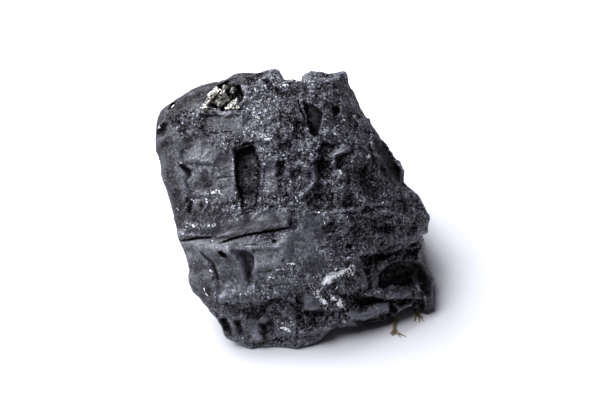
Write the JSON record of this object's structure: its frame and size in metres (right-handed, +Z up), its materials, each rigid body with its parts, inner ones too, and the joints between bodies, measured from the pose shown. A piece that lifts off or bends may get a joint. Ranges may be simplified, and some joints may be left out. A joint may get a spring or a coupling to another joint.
{
  "type": "lump of coal",
  "caption": "Rough broken lump of black coal with stepped beds, a long slot in its broad leaning face and a small nest of pyrite crystals near its top.",
  "frame": {"origin": "bottom centre of the lump's box, on the surface that it rests on", "axes": "+Z up, +X to the right along the broad face and -Y towards the front, where that face looks"},
  "size_m": [0.0736, 0.0638, 0.0536],
  "materials": {
    "coal": "broken bituminous coal, dull granular with glossy bands",
    "pyrite": "pale brassy crystals with a metallic lustre"
  },
  "bodies": {
    "root": {"coal_lump": "coal", "pyrite_nest": "pyrite"}
  },
  "joints": []
}
